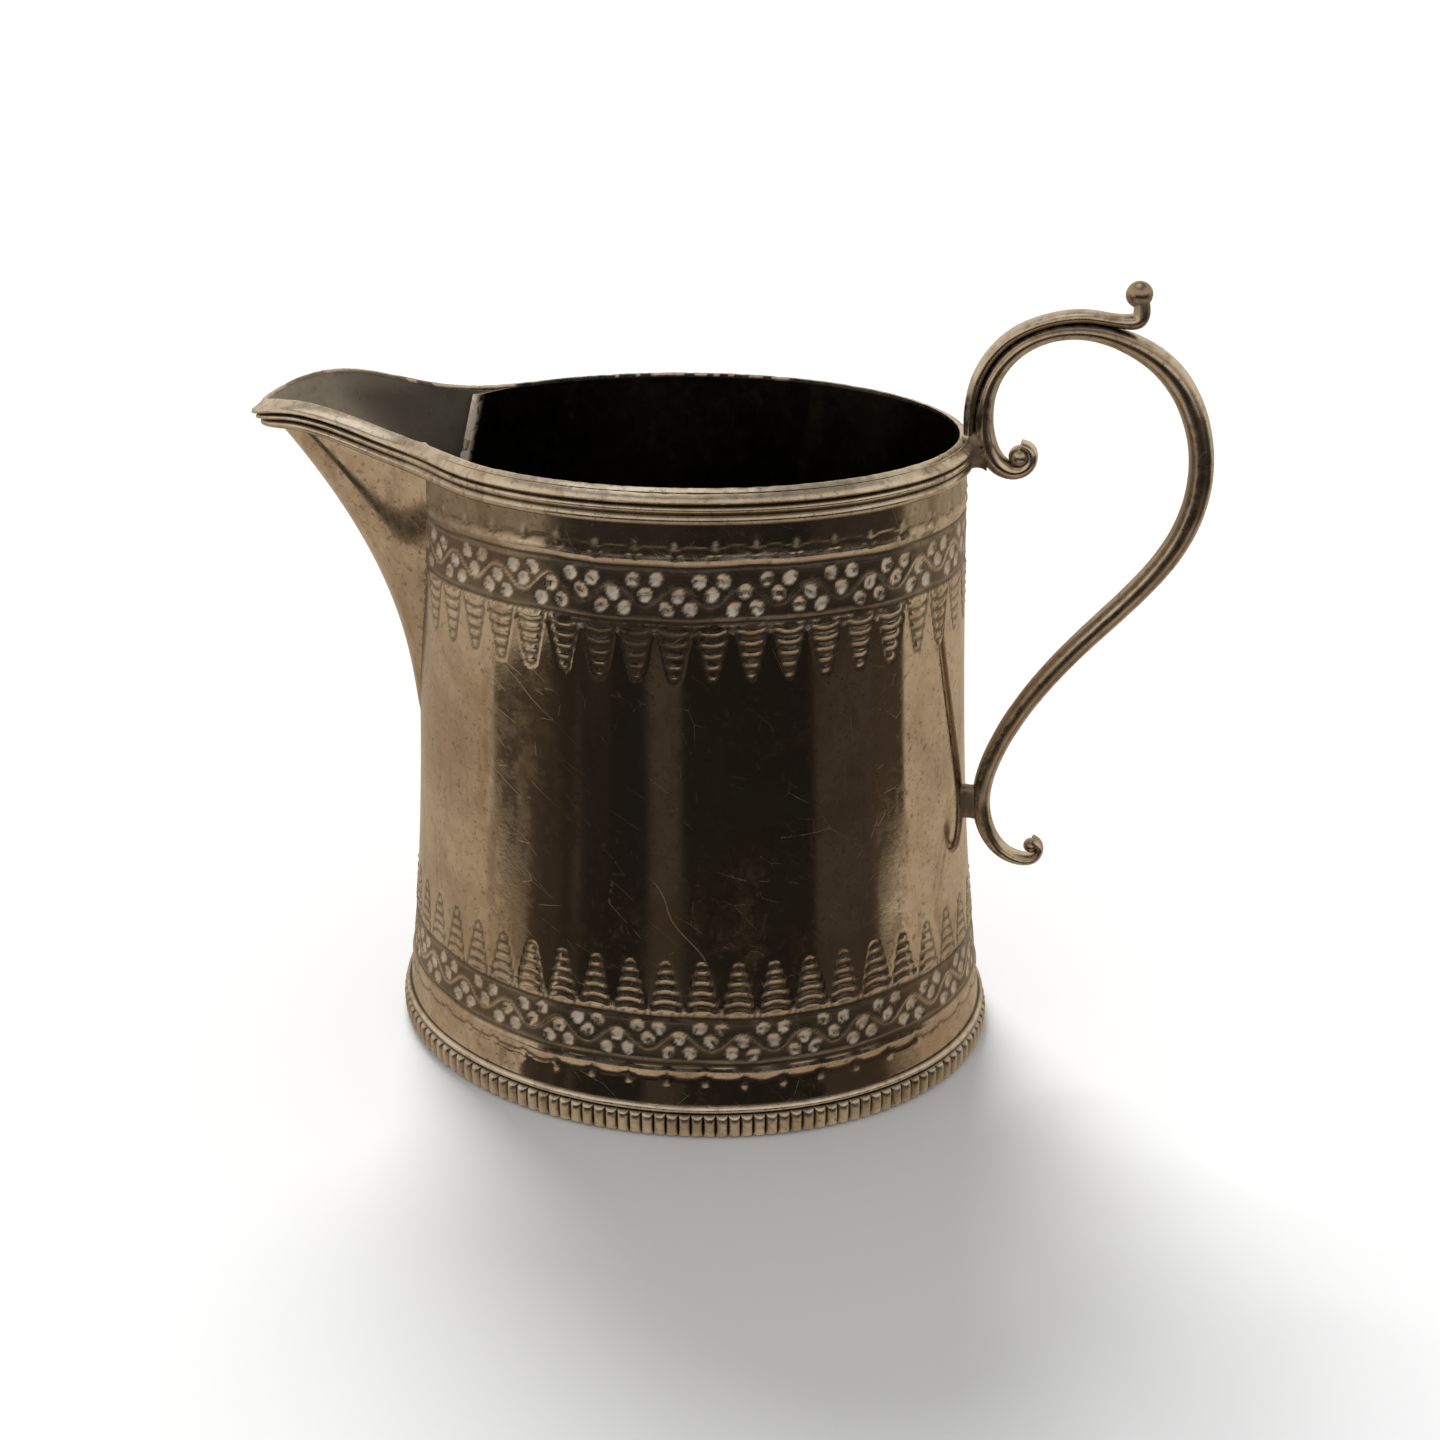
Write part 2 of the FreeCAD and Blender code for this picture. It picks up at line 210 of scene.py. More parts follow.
class Shape:
    """Points, faces and two masks, of tarnish, wear and painted light, gathered for one piece.

    grime is tarnish left in a hollow, painted shade beside the spout's joint and on the
    handle's undersides, and a darker band under the rim; worn is metal rubbed bright, and
    painted highlights near the foot beads' ends; both 0 to 1.
    """

    def __init__(self):
        self.points = []
        self.faces = []
        self.grime = []
        self.worn = []
        self.slots = []

    def add_points(self, points, grime=0.0, worn=0.0):
        first = len(self.points)
        self.points.extend(points)
        self.grime.extend(np.broadcast_to(grime, len(points)).tolist())
        self.worn.extend(np.broadcast_to(worn, len(points)).tolist())
        return list(range(first, len(self.points)))

    def add_faces(self, faces, slot=0):
        self.faces.extend(faces)
        self.slots.extend([slot] * len(faces))

    def strip(self, row, other, slot=0):
        """Faces between two rows of the same length."""
        self.add_faces([(row[i], row[i + 1], other[i + 1], other[i])
                        for i in range(len(row) - 1)], slot)

    def zip_rows(self, row, other):
        """Triangles between two rows of different lengths, evenly shared out."""
        i = j = 0
        last_i, last_j = len(row) - 1, len(other) - 1
        while i < last_i or j < last_j:
            if j == last_j or (i < last_i and (i + 1) * last_j <= (j + 1) * last_i):
                self.add_faces([(row[i], row[i + 1], other[j])])
                i += 1
            else:
                self.add_faces([(row[i], other[j + 1], other[j])])
                j += 1

    def loft(self, rings, grime=0.0, worn=0.0, closed=False):
        """Skin over rings of points. grime and worn are one value, or one for each
        point of a ring, or a list with such a row for each ring."""
        loops = []
        for i, ring in enumerate(rings):
            rows = [value[i] if np.ndim(value) == 2 else value for value in (grime, worn)]
            loops.append(self.add_points(ring, *rows))
        pairs = list(zip(loops, loops[1:]))
        if closed:
            pairs.append((loops[-1], loops[0]))
        for loop, other in pairs:
            self.strip(loop + loop[:1], other + other[:1])
        if not closed:
            self.add_faces([tuple(loops[0]), tuple(loops[-1])])

    def piece(self, name, node, materials, crease=40):
        """Make the object, in metres, and set it in the frame in place of its node."""
        mesh = bpy.data.meshes.new(name)
        mesh.from_pydata([tuple(c * MM for c in p) for p in self.points], [], self.faces)
        for key in ("grime", "worn"):
            attribute = mesh.attributes.new(key, "FLOAT", "POINT")
            attribute.data.foreach_set("value", getattr(self, key))
        mesh.polygons.foreach_set("material_index", self.slots)
        tidy_mesh(mesh)
        mesh.shade_smooth()
        mesh.set_sharp_from_angle(angle=math.radians(crease))
        made = bpy.data.objects.new(name, mesh)
        bpy.context.scene.collection.objects.link(made)
        for material in materials:
            mesh.materials.append(material)
        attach(made, "root")
        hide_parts(node)


def tidy_mesh(mesh):
    """Weld points that coincide, and turn every face outwards."""
    work = bmesh.new()
    work.from_mesh(mesh)
    bmesh.ops.remove_doubles(work, verts=work.verts, dist=0.0005 * MM)
    bmesh.ops.dissolve_degenerate(work, edges=work.edges, dist=0.0001 * MM)
    bmesh.ops.recalc_face_normals(work, faces=work.faces)
    work.to_mesh(mesh)
    work.free()


# ---- the chased wall -------------------------------------------------------------

def ridge(distance, width):
    """A rounded ridge of that half-width, 1 on its crest."""
    return np.clip(1 - (distance / width) ** 2, 0, 1)


def vine_strip(turn, out, across, band):
    """Wavy stem with berries in threes, out from the strip's middle. Height, grime, worn."""
    pitch = across / band["vines"]
    phase = np.mod(turn * band["vines"], 1)
    along = (phase - 0.5) * pitch
    stem = -VINE_SWING * np.cos(2 * math.pi * (phase - 0.5))
    slope = 2 * math.pi * VINE_SWING / pitch * np.abs(np.sin(2 * math.pi * phase))
    line = ridge((out - stem) / np.hypot(1, slope), STEM_HALF)
    berry = np.zeros_like(turn)
    over_crest = np.where(phase > 0.5, phase - 1, phase) * pitch
    uneven = 0.12 * np.sin(2 * math.pi * turn * 61) + 0.1 * np.sin(2 * math.pi * turn * 37 + 2)
    for side, middle in ((1, along), (-1, over_crest)):
        for shift, level in ((-BERRY_SPREAD, BERRY_LEVEL), (BERRY_SPREAD, BERRY_LEVEL), (0, 0)):
            reach = np.hypot(middle - shift, out - side * level - uneven)
            berry = np.maximum(berry, ridge(reach, BERRY))
    inside = smooth(band["half"], band["half"] - 0.3, np.abs(out))
    height = inside * (-STRIP_DEPTH + STEM_HEIGHT * line * (berry == 0) - BERRY_DEPTH * berry)
    worn = inside * np.maximum(0.22 * line, 0.9 * smooth(0.02, 0.3, berry))
    grime = inside * 0.78 * (1 - np.maximum(0.8 * line, smooth(0.0, 0.25, berry)))
    return height, grime, worn


def tongues(turn, out, across, band):
    """Pointed stacks of bars that run away from the strip."""
    pitch = across / band["tongues"]
    phase = np.mod(turn * band["tongues"], 1) - 0.5
    along = phase * pitch
    down = -out - band["half"] - TONGUE_GAP
    share = (down + BAR_SAG * (along / BAR_SPAN) ** 2) / band["reach"]
    half = TONGUE_HALF * np.clip(1 - np.clip(share, 0, 1) * 0.93, 0, 1) ** 0.85
    inside = smooth(0.14, -0.14, np.abs(along) - half)
    inside = inside * (share > -0.02) * (share < 1.0)
    wave = np.cos(2 * math.pi * (share * TONGUE_BARS - 0.3))
    strength = 1 - band["fade"] * np.exp(-((np.mod(turn, 1) - 0.75) / 0.07) ** 2)
    height = inside * BAR_HEIGHT * wave * strength
    worn = inside * 0.26 * smooth(0.25, 0.9, wave) * strength
    grime = inside * 0.7 * smooth(0.1, -0.7, wave)
    edge = ridge(np.abs(along) - half - 0.1, 0.26) * (share > 0) * (share < 0.97)
    grime = np.maximum(grime, 0.8 * edge)
    height = height - 0.07 * edge
    dot = ridge(np.hypot(pitch / 2 - np.abs(along), down - 0.35), DOT)
    return height + 0.1 * dot, grime, np.maximum(worn, 0.5 * dot)


def scallops(turn, out, across, band):
    """A row of dashes, of low arches over them and of dots between the arches."""
    pitch = across / band["scallops"]
    phase = np.mod(turn * band["scallops"], 1) - 0.5
    up = out - band["half"]
    dash = ridge(up - DASH_OUT, 0.08 + 0.34 * np.sqrt(np.cos(math.pi * phase)))
    arch = SCALLOP_FOOT + SCALLOP_RISE * np.sqrt(np.clip(1 - (2 * phase) ** 2, 0, 1))
    cut = ridge(up - arch, CUT_HALF)
    dot = ridge(np.hypot((0.5 - np.abs(phase)) * pitch, up - DOT_OUT), DOT)
    height = DASH_HEIGHT * dash - CUT_DEPTH * cut + 0.12 * dot
    return height, 0.75 * cut, np.maximum(0.4 * dash, 0.6 * dot)


def border_lines(out, band):
    """An engraved line on each side of the vine strip, with a low ridge inside it."""
    from_line = np.abs(np.abs(out) - band["half"])
    cut = ridge(from_line, BORDER_HALF)
    second = ridge(np.abs(np.abs(out) - band["half"] + 0.45), 0.2)
    return -BORDER_DEPTH * cut + 0.05 * second, 0.95 * cut, 0.15 * second


def relief(turn, z):
    """Height of the chasing on the wall at an array of turns, with grime and wear."""
    band = UPPER_BAND if z > (UPPER_BAND["middle"] + LOWER_BAND["middle"]) / 2 else LOWER_BAND
    out = np.full_like(turn, (z - band["middle"]) * band["way"])
    out = out + 0.1 * np.sin(2 * math.pi * turn * 7) + 0.06 * np.sin(2 * math.pi * turn * 17)
    across = GIRTH * wall_half(z)
    height, grime, worn = np.zeros_like(turn), np.zeros_like(turn), np.zeros_like(turn)
    parts = (vine_strip(turn, out, across, band), tongues(turn, out, across, band),
             scallops(turn, out, across, band), border_lines(out, band))
    for part_height, part_grime, part_worn in parts:
        height = height + part_height
        grime = np.maximum(grime, part_grime)
        worn = np.maximum(worn, part_worn)
    rubbed = 0.78 + 0.22 * np.sin(2 * math.pi * turn * 5 + 1.3) * np.sin(2 * math.pi * turn * 12 + z)
    return height, np.clip(grime - worn, 0, 1), worn * rubbed


def dent(x, y, z):
    """Slow, shallow unevenness of hand-raised sheet."""
    return 0.07 * noise.noise(Vector((x / 19, y / 19, z / 26)))


def mouth_turn(z, half):
    """Half the turn that the V behind the spout takes out of the wall."""
    if z <= MOUTH_FOOT_Z:
        return 0.0
    side = MOUTH_HALF * (z - MOUTH_FOOT_Z) / (RIM_Z + 1 - MOUTH_FOOT_Z)
    return float(turn_of(math.asin(side / (OVAL * half))))


def tarnish(turns, z):
    """Darkening of the wall: a dark line along the spout's joint, painted shade in the corner beside the
    joint's upper part, and a darker band just under the rim.
    """
    under_rim = 0.5 * smooth(72.6, 74.2, z) * (0.8 + 0.2 * np.sin(6 * math.pi * turns + 1))
    if z <= MOUTH_FOOT_Z:
        return np.zeros_like(turns)
    half = SPOUT_HALF * math.sqrt(max(0, 1 - (1 - min(1, spout_rise(z))) ** 2))
    joint = float(turn_of(math.asin(half / (OVAL * wall_half(z)))))
    away = np.minimum(turns - 0.5, 1.5 - turns) - joint
    line = 0.75 * np.exp(-(away / 0.009) ** 2)
    # painted shade in the corner beside the upper part of the spout's joint
    corner = 0.6 * smooth(65.0, 72.0, z) * np.exp(-(away / 0.06) ** 2)
    return np.maximum(np.maximum(line, corner), under_rim)


def spaced(low, high, step):
    count = max(1, round((high - low) / step))
    return [low + (high - low) * i / count for i in range(count + 1)]


def wall_levels():
    """Heights of the outer wall's rows, close together in the chased bands."""
    top = RIM_Z - 0.35
    stretches = ((0, SKIRT_Z, 2), (SKIRT_Z, 6.6, 0.7), (6.6, 24.2, RELIEF_STEP), (24.2, MOUTH_FOOT_Z, 1.6),
                 (MOUTH_FOOT_Z, 56.6, 1.6), (56.6, 74.8, RELIEF_STEP), (74.8, top, 0.8))
    levels = [0]
    for low, high, step in stretches:
        levels += spaced(low, high, step)[1:]
    return levels


def wall_row(shape, z, columns, inset):
    """One level row of the wall from one side of the V round to the other."""
    half = wall_half(z) - inset
    gap = mouth_turn(z, half)
    turns = 0.5 + gap + np.linspace(0, 1, columns + 1) * (1 - 2 * gap)
    angles = angle_of(turns)
    if inset:
        height, grime, worn = np.zeros_like(turns), 0.35, 0.0
    else:
        height, grime, worn = relief(turns, z)
        # adds the joint's dark line, the painted shade beside the joint and the darker band under the rim to
        # the grime
        grime = np.maximum(grime, tarnish(turns, z))
    points = []
    for angle, rise in zip(angles, height):
        x, y, _ = oval_point(half, angle, z)
        points.append(oval_point(half + rise + dent(x, y, z), angle, z))
    return shape.add_points(points, grime, worn)


def body_shell(outside, inside):
    shape = Shape()
    levels = wall_levels()
    outer = [wall_row(shape, z, WALL_COLUMNS, 0) for z in levels]
    inner_levels = spaced(0, MOUTH_FOOT_Z, 3.9) + spaced(MOUTH_FOOT_Z, levels[-1], 3.4)[1:]
    inner = [wall_row(shape, z, INSIDE_COLUMNS, SHEET) for z in inner_levels]
    for low, high in zip(outer, outer[1:]):
        shape.strip(low, high)
    for low, high in zip(inner, inner[1:]):
        shape.strip(low, high, slot=1)
    shape.zip_rows(outer[0], inner[0])
    shape.zip_rows(outer[-1], inner[-1])
    for end in (0, -1):
        outer_edge = [row[end] for row, z in zip(outer, levels) if z >= MOUTH_FOOT_Z - 0.01]
        inner_edge = [row[end] for row, z in zip(inner, inner_levels) if z >= MOUTH_FOOT_Z - 0.01]
        shape.zip_rows(outer_edge, inner_edge)
        for i in outer_edge + inner_edge:
            shape.grime[i], shape.worn[i] = 0.0, 0.9
    shape.piece("body_wall", "body_shell", [outside, inside], crease=65)


# ---- mouldings round the body ------------------------------------------------------

def reed(top, low, crest, groove):
    """Outline of one half-round reed, from its low edge up, as (out, drop, grime, worn)."""
    points = []
    steps = 6
    for i in range(steps + 1):
        lift = math.sin(math.pi * i / steps)
        drop = low + (top - low) * i / steps
        points.append((groove + (crest - groove) * lift ** 0.7, drop, 0.9 * (1 - lift), 0.22 * lift))
    return points


def wire_profile():
    """Closed outline of the reeded wire: two reeds, a bevelled top, and a lip that
    lies over the sheet's edge. Each point is (out, drop, grime, worn)."""
    profile = [(-0.05, 3.9, 0.6, 0.0)]
    profile += reed(2.72, 3.9, 0.75, 0.26)
    profile += reed(1.72, 2.6, 0.8, 0.26)[1:]
    profile += [(0.26, 1.60, 1.0, 0.0), (0.70, 1.48, 0.5, 0.1), (0.85, 1.28, 0.1, 0.35)]
    profile += [(0.80, 1.05, 0.1, 0.4), (0.45, 0.70, 0.1, 0.3), (-0.1, 0.35, 0.1, 0.25)]
    profile += [(-0.62, 0.06, 0.05, 0.45), (-0.82, 0.0, 0.0, 0.6), (-0.93, 0.1, 0.1, 0.4)]
    profile += [(-0.95, 0.55, 0.8, 0.0), (-0.05, 0.6, 0.8, 0.0)]
    return profile


def nicked(point, drop):
    """Knock a point of the wire's bevel down a little, as wear has."""
    x, y, z = point
    if drop > 1.3:
        return (x, y, z)
    return (x, y, z - 0.10 * abs(noise.noise(Vector((x / 1.7, y / 1.7, 5.0)))))


def rim_moulding(material):
    """Reeded wire round the rim, up to where the spout's own wires begin."""
    profile = wire_profile()
    grime = [p[2] for p in profile]
    worn = [p[3] for p in profile]
    rings = []
    for turn in np.linspace(0.5 + WIRE_END, 1.5 - WIRE_END, 480):
        angle = float(angle_of(turn))
        wave = 0.05 * noise.noise(Vector((math.cos(angle) * 4, math.sin(angle) * 4, 1.7)))
        ring = []
        for out, drop, _, _ in profile:
            half = wall_half(RIM_Z - drop) + out + (wave if out > 0 else 0)
            ring.append(nicked(oval_point(half, angle, RIM_Z - drop), drop))
        rings.append(ring)
    shape = Shape()
    shape.loft(rings, grime, worn)
    shape.piece("rim_reeds", "rim_moulding", [material])


def foot_beading(material):
    """Wire pressed into upright oval beads, all round the foot."""
    per_bead = 10
    back = wall_half(SKIRT_Z)
    rows = 13
    rings, grime, worn = [], [], []
    for k in range(BEADS * per_bead):
        turn = k / (BEADS * per_bead)
        p = 2 * ((k % per_bead) / per_bead) - 1
        size = 1 + 0.06 * noise.noise(Vector((k // per_bead * 1.7, 0.4, 0)))
        ring, ring_grime, ring_worn = [], [], []
        for j in range(rows):
            q = 2 * j / (rows - 1) - 1
            swell = math.sqrt(max(0, 1 - abs(p) ** 2.2)) * math.sqrt(max(0, 1 - abs(q) ** 4)) * size
            out = 0.2 + (BEADING_DEPTH - 0.22) * min(swell, 1)
            z = 0.04 + (BEADING_TOP - 0.08) * (q + 1) / 2
            ring.append(oval_point(back + out, float(angle_of(turn)), z))
            ring_grime.append(min(1, 1.25 * (1 - swell)))
            # The brighter bands near each bead's top and bottom ends are painted highlights; the share that
            # follows the swell is wear.
            ring_worn.append(swell * (0.25 + 0.7 * abs(q) ** 3))
        ring.append(oval_point(back - 0.02, float(angle_of(turn)), BEADING_TOP - 0.02))
        ring.append(oval_point(back - 0.02, float(angle_of(turn)), 0.02))
        rings.append(ring)
        grime.append(ring_grime + [1, 1])
        worn.append(ring_worn + [0, 0])
    shape = Shape()
    shape.loft(rings, grime, worn, closed=True)
    shape.piece("foot_beads", "foot_beading", [material], crease=75)


def foot_fillet(material):
    """Plain wire above the beads, worn bright and a little dented."""
    back = wall_half(SKIRT_Z)
    steps = 9
    rings, grime, worn = [], [], []
    for k in range(480):
        angle = float(angle_of(k / 480))
        ring, ring_grime, ring_worn = [], [], []
        for j in range(steps + 1):
            lift = math.sin(math.pi * j / steps) ** 0.8
            nick = 0.06 * noise.noise(Vector((math.cos(angle) * 9, math.sin(angle) * 9, j * 0.3)))
            z = BEADING_TOP + (FILLET_TOP - BEADING_TOP) * j / steps
            ring.append(oval_point(back + 0.05 + (FILLET_DEPTH - 0.08) * lift + nick * lift, angle, z))
            ring_grime.append(1 - min(1, 1.6 * lift))
            ring_worn.append(0.75 * lift)
        ring.append(oval_point(wall_half(FILLET_TOP) - 0.1, angle, FILLET_TOP - 0.02))
        ring.append(oval_point(back - 0.1, angle, BEADING_TOP + 0.02))
        rings.append(ring)
        grime.append(ring_grime + [1, 1])
        worn.append(ring_worn + [0, 0])
    shape = Shape()
    shape.loft(rings, grime, worn, closed=True)
    shape.piece("foot_fillet_wire", "foot_fillet", [material])


def base_plate(material):
    """Shallow domed disc inside the skirt, with the hammerer's faint rings."""
    edge = wall_half(SKIRT_Z) - SHEET
    steps = 40
    shares = [0.01 + 0.99 * i / steps for i in range(steps + 1)]
    rings = []
    for side, share in [(0, share) for share in shares] + [(SHEET, share) for share in reversed(shares)]:
        planish = 0.03 * math.sin(share * 60)
        z = BASE_Z + side + BASE_RISE * (1 - share ** 2) + planish * (1 - share)
        rings.append([oval_point(edge * share, 2 * math.pi * i / 120, z) for i in range(120)])
    shape = Shape()
    shape.loft(rings, 0.3)
    shape.piece("base_disc", "base_plate", [material])


# ---- spout ----------------------------------------------------------------------------

def natural_spline(knots, values):
    """Natural cubic spline through values at knots, as a function of the knot measure."""
    knots = np.asarray(knots, float)
    values = np.asarray(values, float)
    gaps = np.diff(knots)
    slopes = np.diff(values) / gaps
    size = len(knots)
    matrix = np.eye(size)
    right = np.zeros(size)
    for i in range(1, size - 1):
        matrix[i, i - 1:i + 2] = (gaps[i - 1], 2 * (gaps[i - 1] + gaps[i]), gaps[i])
        right[i] = 6 * (slopes[i] - slopes[i - 1])
    bends = np.linalg.solve(matrix, right)

    def at(t):
        i = int(np.clip(np.searchsorted(knots, t) - 1, 0, size - 2))
        a = (knots[i + 1] - t) / gaps[i]
        b = 1 - a
        curve = ((a ** 3 - a) * bends[i] + (b ** 3 - b) * bends[i + 1]) * gaps[i] ** 2 / 6
        return float(a * values[i] + b * values[i + 1] + curve)
    return at


lip_curve = natural_spline([-x for x, _ in LIP], [z for _, z in LIP])


def lip_height(x, drop):
    """The lip's height over x from the axis, lowered by drop."""
    along = min(max((LIP[1][0] - x) / SPOUT_REACH, 0), 1)
    return lip_curve(-x) - drop * (1 - LIP_THINNING * along)


def spout_rise(z):
    return (z - SPOUT_FOOT_Z) / (SPOUT_TOP_Z - SPOUT_FOOT_Z)


def outline_point(z, u, offset, side, beak=False):
    """Point of the spout's level section; u runs from 0 at the nose to 1 at the joint."""
    t = min(spout_rise(z), 1.0)
    half = SPOUT_HALF * math.sqrt(max(0, 1 - (1 - t) ** 2))
    narrowing = NECK_IN * t ** 2 * half
    half += offset
    wall = wall_half(z)
    joint = wall * math.sqrt(1 - (half / (OVAL * wall)) ** 2)
    climb = (1 + SPOUT_SAG) * spout_rise(z) ** SPOUT_CURVE - SPOUT_SAG * spout_rise(z)
    crest = max(wall_half(SPOUT_FOOT_Z) + SPOUT_REACH * climb, wall + 0.05)
    reach = max(crest + offset, wall + 0.03) - joint + (BEAK if beak else 0)
    s = 1 - u * u
    across = half - narrowing * (1 - (1 - s) ** 2.5)
    if beak:
        across *= 1 - s ** BEAK_BLUNTNESS
    else:
        across *= math.sqrt(max(0, 1 - s ** (2 + NOSE_BLUNTNESS * t ** 3)))
    return -(joint + reach * s), side * across


def at_lip(u, offset, side, drop, beak=False):
    """Point of the outline where it meets the lowered lip."""
    low, high = SPOUT_FOOT_Z, SPOUT_TOP_Z + 5
    for _ in range(40):
        z = (low + high) / 2
        x, _ = outline_point(z, u, offset, side, beak)
        if z < lip_height(x, drop):
            low = z
        else:
            high = z
    x, y = outline_point(z, u, offset, side, beak)
    return (AXIS_X + x, y, z)


def nose_stations(count):
    """Measures from the nose to the joint, closer together near the nose."""
    return [(i / count) ** 1.5 for i in range(count + 1)]


def spout_shell(outside, inside):
    """Sheet spout: rings of its outer outline and back along its inner one."""
    stations = nose_stations(SHEET_STATIONS)
    sides = [(u, -1) for u in reversed(stations)] + [(u, 1) for u in stations[1:]]
    foot = SPOUT_FOOT_Z + 0.3
    tops = {}
    for offset in (0, -SHEET):
        tops[offset] = [at_lip(u, offset, side, 0.5)[2] for u, side in sides]
    rings = []
    for level in range(SHEET_STATIONS + 1):
        ring = []
        for offset in (0, -SHEET):
            row = []
            for (u, side), top in zip(sides, tops[offset]):
                z = foot + (top - foot) * (level / SHEET_STATIONS) ** 1.4
                x, y = outline_point(z, u, offset, side)
                bump = 0.4 * dent(x, y, z) if offset == 0 else 0
                row.append((AXIS_X + x - bump + SEAM * u ** 12, y, z))
            ring += row if offset == 0 else row[::-1]
        rings.append(ring)
    shape = Shape()
    loops = [shape.add_points(ring) for ring in rings]
    for loop, other in zip(loops, loops[1:]):
        shape.strip(loop + loop[:1], other + other[:1])
    columns = len(sides)
    for loop in (loops[0], loops[-1]):
        shape.strip(loop[:columns], loop[:columns - 1:-1])
    ring_size = 2 * columns
    for i, face in enumerate(shape.faces):
        if all(k % ring_size >= columns for k in face):
            shape.slots[i] = 1
    shape.piece("spout_sheet", "spout_shell", [outside, inside])


def rim_gap(out):
    """Turn from the spout's middle to where an offset of the rim meets the spout."""
    return float(turn_of(math.asin((SPOUT_HALF + out) / (OVAL * (RIM_HALF + out)))))


def wire_path(out, side, drop):
    """One line along a spout wire, from the nose to the joint and on along the rim."""
    path = [at_lip(u, out, side, drop, beak=out > 0) for u in nose_stations(NOSE_STATIONS)]
    start = rim_gap(out)
    for i in range(1, BEND_STATIONS + 1):
        turn = 0.5 - side * (start + (WIRE_END - start) * i / BEND_STATIONS)
        height = lip_height(LIP[1][0], drop) + (RIM_Z - LIP[1][1]) * i / BEND_STATIONS
        path.append(oval_point(wall_half(height) + out, float(angle_of(turn)), height))
    path = np.array(path)
    reach = np.abs(np.arange(1, len(path) - 1) - NOSE_STATIONS) / BEND_STATIONS
    pull = np.clip(1 - reach, 0, 1)[:, None] * 0.5
    for _ in range(BEND_SMOOTHING):
        middle = path[1:-1].copy()
        path[1:-1] = middle + pull * ((path[:-2] + path[2:]) / 2 - middle)
    return path


def spout_wire(side, node, material):
    """Reeded wire along one side of the lip; the two meet in a mitre at the tip."""
    profile = wire_profile()
    lines = [wire_path(out, side, drop) for out, drop, _, _ in profile]
    rings = []
    for i in range(len(lines[0])):
        rings.append([nicked(line[i], p[1]) for line, p in zip(lines, profile)])
    shape = Shape()
    shape.loft(rings, [p[2] for p in profile], [p[3] for p in profile])
    shape.piece(node + "_reeds", node, [material])


# ---- handle ---------------------------------------------------------------------------

# Half of each casting's section as (across, out, grime, worn), from outside to inside:
# a crowned back, a groove, a flat side and a chamfer
# The grime on the inner face, the points whose out is below 0, is painted shade on the castings' undersides;
# in the scroll's groove the grime is tarnish.
SCROLL_SECTION = (
    (0.0, 1.0, 0.0, 0.35), (0.42, 0.94, 0.0, 0.4), (0.74, 0.76, 0.0, 0.6), (0.84, 0.60, 0.4, 0.2),
    (0.86, 0.48, 0.6, 0.0), (0.95, 0.36, 0.2, 0.2), (1.0, 0.12, 0.1, 0.1), (1.0, -0.2, 0.15, 0.1),
    (0.93, -0.5, 0.0, 0.6), (0.72, -0.76, 0.3, 0.1), (0.38, -0.94, 0.4, 0.0), (0.0, -1.0, 0.5, 0.0))
OVERLAY_SECTION = (
    (0.0, 1.0, 0.0, 0.5), (0.4, 0.93, 0.0, 0.4), (0.75, 0.68, 0.0, 0.5), (0.96, 0.3, 0.0, 0.6),
    (1.0, -0.1, 0.1, 0.1), (0.92, -0.5, 0.45, 0.0), (0.6, -0.85, 0.7, 0.0), (0.0, -1.0, 0.7, 0.0))


def whole_section(half):
    """Both halves of a section, as one closed outline."""
    other = [(-a, o, g, w) for a, o, g, w in half[-2:0:-1]]
    return list(half) + other


def casting(shape, stations, half_section, samples):
    """Sweep the section along a smooth line through the stations."""
    section = whole_section(half_section)
    chords = [0.0]
    for (x0, z0, _, _), (x1, z1, _, _) in zip(stations, stations[1:]):
        chords.append(chords[-1] + math.hypot(x1 - x0, z1 - z0))
    curves = [natural_spline(chords, [s[i] for s in stations]) for i in range(4)]
    rings = []
    for i in range(samples + 1):
        t = chords[-1] * i / samples
        x, z, thickness, width = (curve(t) for curve in curves)
        ahead, behind = min(t + 0.05, chords[-1]), max(t - 0.05, 0)
        heading = Vector((curves[0](ahead) - curves[0](behind), curves[1](ahead) - curves[1](behind)))
        heading.normalize()
        rough = 0.98 + 0.02 * noise.noise(Vector((x * 0.35, 3.1, z * 0.35)))
        ring = []
        for across, out, _, _ in section:
            lift = thickness / 2 * out * rough
            ring.append((AXIS_X + x - heading.y * lift, width / 2 * across * rough, z + heading.x * lift))
        rings.append(ring)
    shape.loft(rings, [p[2] for p in section], [p[3] for p in section])


def knob(shape, place, squash, grime=0.3, worn=0.15):
    """Small cast bead with a shallow waist, lying across the handle."""
    x, z, radius = place
    rings = []
    for i in range(15):
        tilt = math.pi * (0.03 + 0.94 * i / 14)
        girth = radius * math.sin(tilt) * (0.95 - 0.05 * math.cos(2 * tilt))
        y = squash * radius * math.cos(tilt)
        rings.append([(AXIS_X + x + girth * math.cos(a), y, z + girth * math.sin(a))
                      for a in np.linspace(0, 2 * math.pi, 28, endpoint=False)])
    shape.loft(rings, grime, worn)


def handle_scroll(material):
    shape = Shape()
    casting(shape, SCROLL, SCROLL_SECTION, 300)
    knob(shape, UPPER_EYE, 1.15)
    knob(shape, LOWER_EYE, 1.15)
    shape.piece("handle_scroll_cast", "handle_scroll", [material], crease=50)


def handle_overlay(material):
    shape = Shape()
    casting(shape, OVERLAY, OVERLAY_SECTION, 120)
    knob(shape, THUMB_BALL, 1.0)
    shape.piece("handle_overlay_cast", "handle_overlay", [material], crease=50)


